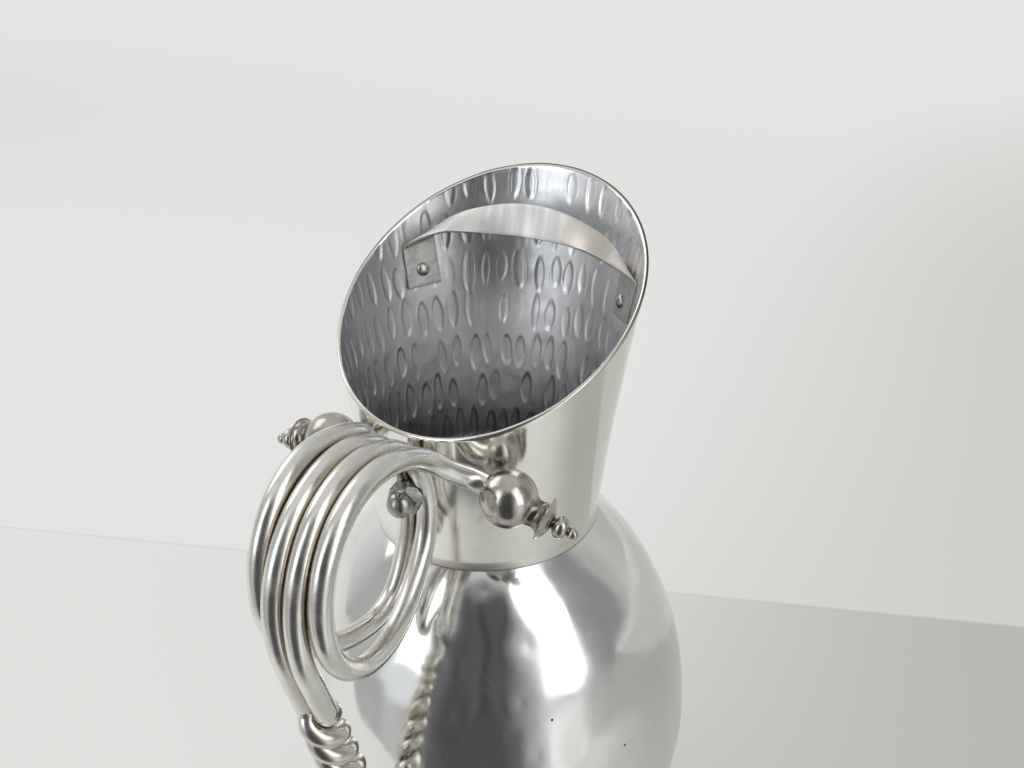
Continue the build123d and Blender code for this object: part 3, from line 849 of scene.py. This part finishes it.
def rod_course(side):
    """(point, radius) pairs of a rod from its tail on the belly to its end in the knob."""
    coil = COIL[side]
    sign = coil["sign"]
    down = Vector((math.sin(TWIST_LEAN), 0, -math.cos(TWIST_LEAN)))
    across = Vector((math.cos(TWIST_LEAN), 0, math.sin(TWIST_LEAN)))
    aside = Vector((0, 1, 0))
    offset = aside * (FIRST_PASS * sign)
    head = (TWIST_TOP - down * TWIST_LEAD + offset, -down)
    foot = (TWIST_TOP + down * (TWIST_PITCH * TWIST_TURNS + TWIST_LEAD) + offset, -down)
    tail = []
    for height in (-142.0, -128.0):
        radius, slant = belly_side(height)
        stand = ROD / 2 + BELLY_GAP
        tail.append((Vector((-radius - stand * math.cos(slant), FIRST_PASS * sign,
                             JOINT + height - stand * math.sin(slant))),
                     Vector((-math.sin(slant), 0, math.cos(slant)))))
    twist = [foot]
    for k in range(4 * TWIST_TURNS - 1, 0, -1):
        angle = sign * math.pi / 2 + k * math.pi / 2
        spoke = across * math.cos(angle) + aside * math.sin(angle)
        sweep = aside * math.cos(angle) - across * math.sin(angle)
        twist.append((TWIST_TOP + down * (TWIST_PITCH * k / 4) + spoke * TWIST_SPREAD,
                      -(down * (TWIST_PITCH / math.tau) + sweep * TWIST_SPREAD)))
    twist.append(head)

    def node(name, y, direction):
        x, height = coil[name]
        return (Vector((x, sign * y, JOINT + height)), Vector(direction))

    turn, dip = math.radians(coil["arm_turn"]), math.radians(coil["arm_dip"])
    leave_slope = math.tan(math.radians(coil["leave_dip"]))
    ball, axis = finial_place(side)
    x, y, height = coil["arm"]
    loop = [head, node("outer", FIRST_PASS, (0, 0, 1)), node("top", FIRST_PASS, (1, 0, 0)),
            node("neck", FIRST_PASS, (0, 0, -1)),
            node("bottom", 6.9, (-1, sign * 0.12, coil["slope"])),
            node("last_outer", SECOND_PASS, (0, 0, 1)),
            node("last_top", SECOND_PASS, (1, 0, 0)),
            node("leave", SECOND_PASS, (1, 0, -leave_slope)),
            (Vector((x, sign * y, JOINT + height)),
             Vector((math.cos(turn) * math.cos(dip), sign * math.sin(turn) * math.cos(dip),
                     -math.sin(dip)))),
            (ball - axis * KNOB_BALL, axis)]
    course = [(p, ROD / 2) for p in smooth_run(tail + [foot], 1.2)[:-1]]
    course += [(p, STRAND / 2) for p in smooth_run(twist, 0.62)[:-1]]
    course += [(p, ROD / 2) for p in smooth_run(loop, 1.1)]
    return course + [(ball - axis * 3.0, ROD / 2)]


def swept(course, sides):
    """A round bar along a course of (point, radius) pairs."""
    bm = bmesh.new()
    points = [p for p, _ in course]
    ring = bmesh.ops.create_circle(bm, cap_ends=False, radius=1.0, segments=sides)["verts"]
    spokes = [vert.co.copy() for vert in ring]
    right = None
    for k, (point, radius) in enumerate(course):
        ahead = points[min(k + 1, len(points) - 1)] - points[max(k - 1, 0)]
        along = ahead.normalized()
        if right is None:
            right = along.orthogonal().normalized()
        right = (right - along * right.dot(along)).normalized()
        up = along.cross(right)
        if k:
            edges = [bm.edges.get(pair) for pair in zip(ring, ring[1:] + ring[:1])]
            ring = extruded(bm, edges, ring)
        for vert, spoke in zip(ring, spokes):
            vert.co = point + (right * spoke.x + up * spoke.y) * radius
    bmesh.ops.holes_fill(bm, edges=bm.edges, sides=sides)
    bmesh.ops.recalc_face_normals(bm, faces=bm.faces)
    return bm


def rod_tree():
    """Courses of both rods, and a tree of their points to find where the rods lie close."""
    courses = {side: rod_course(side) for side in COIL}
    entries = [(p, r, side, k) for side, course in courses.items()
               for k, (p, r) in enumerate(course)]
    tree = KDTree(len(entries))
    for index, entry in enumerate(entries):
        tree.insert(entry[0], index)
    tree.balance()
    return courses, entries, tree


def make_rods():
    """Both rods, with grime and painted shade worked into the lines where they touch."""
    search, nearby, clear = 7.5, 14, 9.0
    courses, entries, tree = rod_tree()
    for side, course in courses.items():
        bm = swept(course, 36)
        grime_and_shade = bm.verts.layers.float.new("grime_and_shade")
        tarnish_and_shade = bm.verts.layers.float.new("tarnish_and_shade")
        for vert in bm.verts:
            own = min(tree.find_n(vert.co, 6), key=lambda hit: (
                entries[hit[1]][2] != side, hit[2]))
            reach = clear
            for _, index, distance in tree.find_range(vert.co, search):
                _, radius, other, k = entries[index]
                if other != side or abs(k - entries[own[1]][3]) >= nearby:
                    reach = min(reach, distance - radius)
            # Grime and painted shade in the lines where the rods touch.
            vert[grime_and_shade] = clamped(1.0 - (reach - 0.15) / 1.0) ** 2
            # Painted shade: a warm darkening within about 3 mm of the other rod.
            vert[tarnish_and_shade] = clamped(1.0 - (reach - 0.4) / 2.6) ** 1.5
            # A warm tarnish over the whole twist.
            if vert.co.z < JOINT - 12.0:
                vert[tarnish_and_shade] = max(vert[tarnish_and_shade], TWIST_STAIN)
        finished(f"handle_rod_{side}_polished", bm, ROD_FINISH,
                 [f"handle_rod_{side}"], 50.0)


# Knobs and fasteners

BEAD = 2.15
THREAD = 3.175
NUT_HEIGHT = 5.0
NUT_CORNER = 6.6
NUT_HALF_FLATS = 5.55
NUT_DOME = 5.05
BOLT_HEAD = 6.0
WASHER = 1.5


def knob_outline():
    """(radius, distance along the axis, groove grime) points of a finial from back to tip."""
    points = []
    back, cove = 22.5, 143.4
    for k in range(45):
        angle = math.radians(back + (cove - back) * k / 44)
        points.append((KNOB_BALL * math.sin(angle), -KNOB_BALL * math.cos(angle), 0.0))

    def add_arc(start, middle, end, count, depth, fade):
        for r, z in arc_through(start, middle, end, count)[1:]:
            points.append((r, z, max(0.0, 1.0 - (r - depth) / fade)))

    add_arc((6.2, 8.35), (4.934, 10.867), (8.0, 14.0), 20, 4.9, 1.5)
    points.extend([(8.05, 14.17, 0.0), (8.0, 14.35, 0.0)])
    add_arc((8.0, 14.35), (5.9, 15.9), (2.2, 17.3), 14, 2.2, 1.5)
    points.append((2.0, 17.8, 1.0))
    add_arc((2.0, 17.8), (4.1, 20.4), (1.6, 23.0), 20, 1.6, 1.2)
    start = math.asin(1.5 / BEAD)
    for k in range(14):
        a = math.pi - start - (math.pi - start) * k / 13
        points.append((BEAD * math.sin(a), 25.0 + BEAD * math.cos(a), 1.0 if k < 2 else 0.0))
    return points


def make_finial(side):
    """A turned knob on the end of a rod, closed at its back round the rod."""
    outline = knob_outline()
    bm = spun([(r, z) for r, z, _ in outline], 96)
    groove = bm.verts.layers.float.new("groove")
    for vert in bm.verts:
        radius = radius_of(vert)
        _, _, worn = min(outline, key=lambda p: (p[0] - radius) ** 2 + (p[1] - vert.co.z) ** 2)
        vert[groove] = 0.85 * worn
        vert.co += dent(vert.co * 0.35) * 0.05
    placed(bm, *finial_place(side))
    finished(f"finial_{side}_turned", bm, KNOB_FINISH, [f"finial_{side}"],
             32.0)


def bolt_place(end):
    """Wall point, outward direction and nut seat of the upper or lower bolt."""
    if end == "upper":
        height = 41.0
        return (Vector((-neck_radius(height), 0, JOINT + height)),
                Vector((-1, 0, -neck_slope(height))), 8.65)
    height = -130.0
    radius, slant = belly_side(height)
    return (Vector((-radius, 0, JOINT + height)),
            Vector((-math.cos(slant), 0, -math.sin(slant))), 8.05)


def make_acorn_nut(end):
    """A domed hexagon nut with chamfered corners, bored from below."""
    outline = [(0.0, 8.0), (3.0, 8.0), (THREAD, 7.7), (THREAD, 0.4), (3.6, 0.0)]
    for k in range(29):
        z = NUT_HEIGHT * k / 28
        outline.append((min(5.75 + 1.7 * z, 5.75 + 1.5 * (NUT_HEIGHT - z), NUT_CORNER), z))
    outline += [(5.3, NUT_HEIGHT), (5.08, 5.15), (NUT_DOME, 5.35)]
    bm = spun(outline + dome(NUT_DOME, 5.6, NUT_DOME, 20), 144)
    for vert in bm.verts:
        radius = radius_of(vert)
        if radius > 5.12 and vert.co.z <= NUT_HEIGHT + 0.001:
            angle = math.degrees(math.atan2(vert.co.y, vert.co.x)) % 60 - 30
            flat = NUT_HALF_FLATS / math.cos(math.radians(angle))
            vert.co.xy *= min(1.0, flat / radius)
    origin, outward, seat = bolt_place(end)
    placed(bm, origin + outward.normalized() * seat, outward, 12.0)
    finished(f"{end}_acorn_nut_plated", bm, STEEL_FINISH,
             [f"{end}_acorn_nut"], 24.0)


def make_bolt(end):
    """A round-headed bolt through the wall, its head on the rubber washer inside."""
    origin, outward, seat = bolt_place(end)
    under = -SHEET - WASHER
    tip = seat + 7.0
    outline = [(0.0, tip), (2.575, tip), (THREAD, tip - 0.6), (THREAD, under), (5.8, under),
               (BOLT_HEAD, under - 0.2)] + dome(BOLT_HEAD, under - 0.6, -2.6, 16)
    bm = placed(spun(outline, 64), origin, outward)
    finished(f"{end}_bolt_plated", bm, STEEL_FINISH, [f"{end}_bolt"])


make_body()
make_neck()
make_guard()
make_rivets()
make_rods()
for hand in COIL:
    make_finial(hand)
for place in ("upper", "lower"):
    make_acorn_nut(place)
    make_bolt(place)
    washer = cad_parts[f"{place}_sealing_washer"]
    washer.data.materials.clear()
    washer.data.materials.append(RUBBER_FINISH)


# Stage, light and camera

# Tones of the stage: the right-hand tones and LINE_COLOUR are painted shade, WINDOW_GLEAM a
# painted highlight.
TABLE_LEFT = (0.835, 0.84, 0.815)
TABLE_RIGHT = (0.53, 0.545, 0.505)
WALL_LEFT = (0.86, 0.86, 0.845)
WALL_RIGHT = (0.685, 0.705, 0.66)
WALL_TOP = (0.92, 0.92, 0.905)
WALL_TILT = 0.2866
WALL_START = 0.190
LINE_WIDTH = 0.0022
LINE_STRENGTH = 0.18
LINE_COLOUR = (0.45, 0.45, 0.43)
WINDOW_GLEAM = (0.92, 0.92, 0.90)
GLEAM_PLACE = (-0.12, -0.29, 0.0)
FLOOR_SIZE = 14.0
FLOOR_GLOW = 0.65
TABLE_REACH = 0.222


def make_floor():
    """A pale table against a pale wall in one plane, painted with shade and a gleam; mirrors see
    the table end near by.
    """
    bm = bmesh.new()
    bmesh.ops.create_grid(bm, x_segments=1, y_segments=1, size=FLOOR_SIZE)
    floor = added("pale_floor", mesh_of("pale_floor", bm))
    finish = Finish("pale_table_and_wall")
    x, y, _ = finish.split(finish.coords)
    rays = finish.node("ShaderNodeLightPath").outputs
    glossy = rays["Is Glossy Ray"]
    beyond = finish.plus(finish.plus(x, finish.times(y, WALL_TILT)), -WALL_START)
    wall = finish.spread(beyond, -0.0012, 0.0012, 0.0, 1.0)
    # Painted shade: a thin dark line where the wall meets the table.
    line = finish.math("SUBTRACT", 1.0, finish.math("MINIMUM", 1.0, finish.math(
        "DIVIDE", finish.math("ABSOLUTE", beyond), LINE_WIDTH)))
    # Painted shade: table and wall darker towards -Y, where the pitcher's shadow falls.
    side = finish.spread(y, -0.24, 0.15, 0.0, 1.0)
    # Painted highlight: a window's gleam on the table, seen only in mirrors.
    gleam = finish.times(glossy, finish.spread(
        finish.distance(GLEAM_PLACE), 0.03, 0.24, 1.0, 0.0))
    table = finish.blend(gleam, finish.blend(side, TABLE_RIGHT, TABLE_LEFT), WINDOW_GLEAM)
    # Painted light: the wall paler further back on the plane, higher up in view.
    far = finish.blend(finish.spread(x, 0.7, 2.2, 0.0, 1.0),
                       finish.blend(side, WALL_RIGHT, WALL_LEFT), WALL_TOP)
    tone = finish.blend(finish.times(line, LINE_STRENGTH), finish.blend(wall, table, far),
                        LINE_COLOUR)
    # Painted dark reflection: in mirrors the table darker towards -Y.
    mirrored = finish.times(glossy, finish.spread(y, -0.10, 0.10, 0.14, 0.0))
    tone = finish.blend(mirrored, tone, (0.0, 0.0, 0.0))
    finish.fill(finish.shader, {"Base Color": tone, "Roughness": 0.9,
                                "Specular IOR Level": 0.2})
    glow = finish.node("ShaderNodeEmission", {"Color": tone, "Strength": 1.0}).outputs[0]
    seen = finish.math("MAXIMUM", rays["Is Camera Ray"], glossy)
    plain = finish.blend_shaders(finish.times(seen, FLOOR_GLOW), finish.shader.outputs[0], glow)
    toward = finish.plus(finish.times(x, -0.94), finish.times(y, -0.342))
    off_table = finish.spread(toward, TABLE_REACH, TABLE_REACH + 0.01, 0.0, 1.0)
    clear = finish.node("ShaderNodeBsdfTransparent").outputs[0]
    finish.fill(finish.output, {
        "Surface": finish.blend_shaders(finish.times(off_table, glossy), plain, clear)})
    floor.data.materials.append(finish.material)


LAMP_DISTANCE = 1.5
LAMP_AIM = Vector((0, 0, 0.16))
# Name, degrees round from the spout, degrees up, width, height, radiance and any colour.
LAMPS = (
    ("window_right", -110, 31, 0.72, 1.70, 1.3),
    ("window_left", 156.5, 28, 0.58, 1.15, 1.25, (0.94, 0.98, 1.0)),
    ("pale_wall_left", 85, 40, 0.90, 0.70, 1.4),
)


def make_lamp(name, azimuth, elevation, width, height, radiance, colour=(1, 1, 1)):
    """A soft rectangular lamp facing the pitcher, as bright as a window."""
    data = bpy.data.lights.new(name, "AREA")
    data.shape = "RECTANGLE"
    data.size, data.size_y = width, height
    data.energy = radiance * math.pi * width * height
    data.color = colour
    lamp = added(name, data)
    a, e = math.radians(azimuth), math.radians(elevation)
    lamp.location = LAMP_AIM + LAMP_DISTANCE * Vector((
        math.cos(a) * math.cos(e), math.sin(a) * math.cos(e), math.sin(e)))
    lamp.rotation_mode = "QUATERNION"
    lamp.rotation_quaternion = (LAMP_AIM - lamp.location).to_track_quat("-Z", "Y")


# The room round the pitcher as (degrees round from the spout, grey or colour), above and
# below the height of the table.
WALLS = (
    (-180, (0.12, 0.123, 0.13)), (-172, (0.07, 0.072, 0.078)), (-165, (0.11, 0.11, 0.112)),
    (-157, (0.055, 0.056, 0.06)), (-149, (0.1, 0.1, 0.103)), (-143, (0.08, 0.08, 0.085)),
    (-137, (0.17, 0.17, 0.175)), (-131, 0.38), (-124, 0.6), (-95, 0.6),
    (-88, (0.33, 0.335, 0.345)), (-72, (0.26, 0.265, 0.27)), (-63, (0.26, 0.265, 0.27)),
    (-54, (0.45, 0.45, 0.44)), (-38, (0.54, 0.54, 0.53)), (-18, (0.48, 0.48, 0.47)),
    (20, (0.56, 0.56, 0.555)), (70, (0.74, 0.74, 0.735)), (92, (0.58, 0.58, 0.575)), (107, 0.42),
    (133, (0.46, 0.465, 0.47)), (145, (0.78, 0.81, 0.83)), (167, (0.74, 0.77, 0.79)),
    (173, (0.14, 0.142, 0.15)),
)
BELOW = (
    (-180, (0.075, 0.075, 0.078)), (-150, (0.08, 0.08, 0.082)), (-140, 0.13), (-132, 0.36),
    (-126, 0.6), (-118, (0.95, 0.95, 0.94)), (-107, (0.8, 0.8, 0.79)),
    (-98, (0.56, 0.56, 0.55)), (-88, (0.42, 0.42, 0.41)), (-74, (0.3, 0.3, 0.295)),
    (-55, (0.45, 0.45, 0.44)), (0, (0.5, 0.5, 0.49)), (100, (0.42, 0.42, 0.415)), (140, 0.42),
    (152, (0.52, 0.52, 0.515)), (166, 0.45), (173, (0.1, 0.1, 0.105)),
)
CEILING = (0.66, 0.66, 0.65)
BACKDROP = (0.84, 0.84, 0.83)


def make_room():
    """A plain room: pale walls, a dark gap between two windows, and a pale ceiling."""
    world = bpy.data.worlds.new("plain_room")
    world.use_nodes = True
    sky = Nodes(world.node_tree)
    x, y, z = sky.split(sky.node("ShaderNodeTexCoord").outputs["Generated"])
    share = sky.math("MULTIPLY_ADD", sky.math("ARCTAN2", y, x), 1 / math.tau, 0.5)

    def ring(stops):
        made = sky.node("ShaderNodeValToRGB", {0: share})
        ramp = made.color_ramp
        ramp.interpolation = "EASE"
        while len(ramp.elements) < len(stops):
            ramp.elements.new(0.5)
        for element, (degrees_round, tone) in zip(ramp.elements, stops):
            element.position = degrees_round / 360 + 0.5
            colour = tone if isinstance(tone, tuple) else (tone, tone, tone)
            element.color = (*colour, 1.0)
        return made.outputs[0]

    room = sky.blend(sky.spread(z, -0.10, 0.0, 0.0, 1.0), ring(BELOW), ring(WALLS))
    room = sky.blend(sky.spread(z, 0.72, 0.93, 0.0, 1.0), room, CEILING)
    camera_ray = sky.node("ShaderNodeLightPath").outputs["Is Camera Ray"]
    background = sky.node("ShaderNodeBackground",
                          {"Color": sky.blend(camera_ray, room, BACKDROP)})
    sky.node("ShaderNodeOutputWorld", {"Surface": background.outputs[0]})
    bpy.context.scene.world = world


CAMERA_PLACE = (-0.330325, -0.176983, 0.412876)
CAMERA_RIGHT = Vector((0.4411533, -0.89734381, -0.01256373))
CAMERA_UP = Vector((0.40110935, 0.18463175, 0.89723041))
CAMERA_AHEAD = Vector((0.80280449, 0.40085559, -0.4413839))


def make_camera():
    """The photograph's viewpoint: above and behind the handle, looking down at the mouth."""
    data = bpy.data.cameras.new("photo_camera")
    data.sensor_fit = "HORIZONTAL"
    data.sensor_width = 36.0
    data.lens = 37.42
    data.clip_start = 0.02
    data.clip_end = 60.0
    camera = added("photo_camera", data)
    turned = Matrix((CAMERA_RIGHT, CAMERA_UP, -CAMERA_AHEAD)).transposed().to_4x4()
    camera.matrix_world = Matrix.Translation(CAMERA_PLACE) @ turned
    bpy.context.scene.camera = camera


make_floor()
for lamp in LAMPS:
    make_lamp(*lamp)
make_room()
make_camera()
bpy.context.scene.view_settings.view_transform = "Standard"
